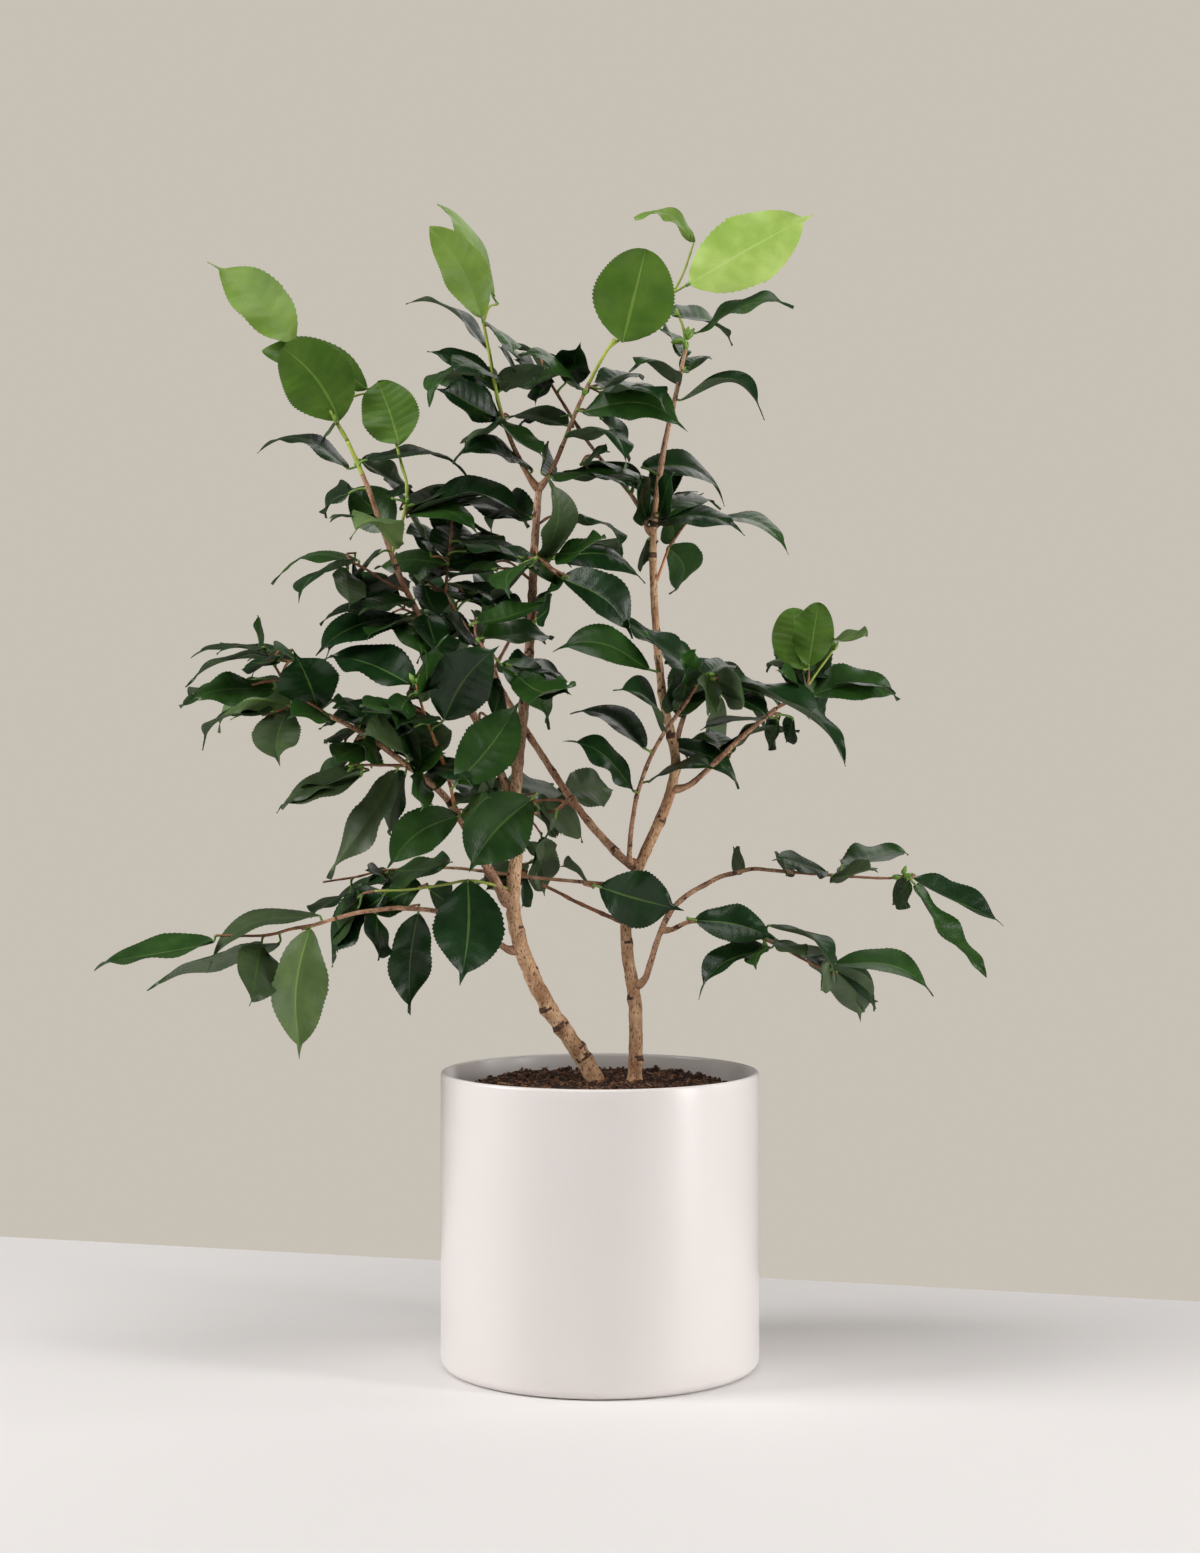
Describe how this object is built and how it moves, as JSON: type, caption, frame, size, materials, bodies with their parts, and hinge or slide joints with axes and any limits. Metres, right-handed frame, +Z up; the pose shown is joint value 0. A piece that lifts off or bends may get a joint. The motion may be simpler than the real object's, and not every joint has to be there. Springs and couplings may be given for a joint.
{
  "type": "potted camellia shrub",
  "caption": "Young open camellia with slender stems, toothed glossy leaves and bright new tip growth, standing in a plain round off-white pot.",
  "frame": {"origin": "centre of the pot's flat underside", "axes": "+Z up, and the plant's face, with its lower left and right boughs spread along X, looks along -Y"},
  "size_m": [0.712, 0.424, 0.915],
  "materials": {
    "pot_glaze": "satin, very pale warm white",
    "potting_mix": "rough, loose and fibrous",
    "old_bark": "matte, finely fissured, tan with grey-brown patches",
    "young_bark": "matte, smooth, reddish brown, green at the tips",
    "mature_foliage": "waxy dark green leaves, paler and matte beneath",
    "new_foliage": "satin bright green new leaves"
  },
  "bodies": {
    "root": {"bough_back_cross": "young_bark", "bough_back_left": "young_bark", "bough_back_right": "young_bark", "bough_centre_front": "young_bark", "bough_cross_low": "young_bark", "bough_left_low": "young_bark", "bough_left_mid": "young_bark", "bough_left_upper": "young_bark", "bough_right_low": "young_bark", "bough_right_low_side": "young_bark", "bough_right_spray": "young_bark", "bough_top_cross": "young_bark", "leaf_centre_single": "mature_foliage", "leaf_front_middle": "mature_foliage", "leaf_low_near": "mature_foliage", "leaves_back_left": "mature_foliage", "leaves_back_low": "mature_foliage", "leaves_back_right": "mature_foliage", "leaves_centre_diagonal": "mature_foliage", "leaves_centre_left": "mature_foliage", "leaves_centre_of_top": "mature_foliage", "leaves_centre_upper": "mature_foliage", "leaves_front_centre": "mature_foliage", "leaves_front_left": "mature_foliage", "leaves_front_low": "mature_foliage", "leaves_left_hanging": "mature_foliage", "leaves_left_inner": "mature_foliage", "leaves_left_middle_tip": "mature_foliage", "leaves_left_of_top": "mature_foliage", "leaves_left_shelf": "mature_foliage", "leaves_left_shelf_low": "mature_foliage", "leaves_low_left_far": "mature_foliage", "leaves_low_left_hanging": "mature_foliage", "leaves_low_middle_hanging": "mature_foliage", "leaves_outer_left": "mature_foliage", "leaves_right_hanging": "mature_foliage", "leaves_right_inner": "mature_foliage", "leaves_right_low_end": "mature_foliage", "leaves_right_low_hanging": "mature_foliage", "leaves_right_lower_far": "mature_foliage", "leaves_right_lower_near": "mature_foliage", "leaves_right_of_top": "mature_foliage", "leaves_right_spray": "mature_foliage", "leaves_right_upper": "mature_foliage", "leaves_top_centre": "mature_foliage", "leaves_top_right": "mature_foliage", "leaves_upper_left": "mature_foliage", "leaves_upper_left_arch": "mature_foliage", "new_leaf_round": "new_foliage", "new_leaf_top_middle": "new_foliage", "new_leaf_top_right": "new_foliage", "new_leaves_left": "new_foliage", "new_leaves_top_left": "new_foliage", "pot": "pot_glaze", "potting_mix": "potting_mix", "shoot_top_left": "young_bark", "shoot_top_middle": "young_bark", "stem_left": "old_bark", "stem_right": "old_bark"}
  },
  "joints": []
}
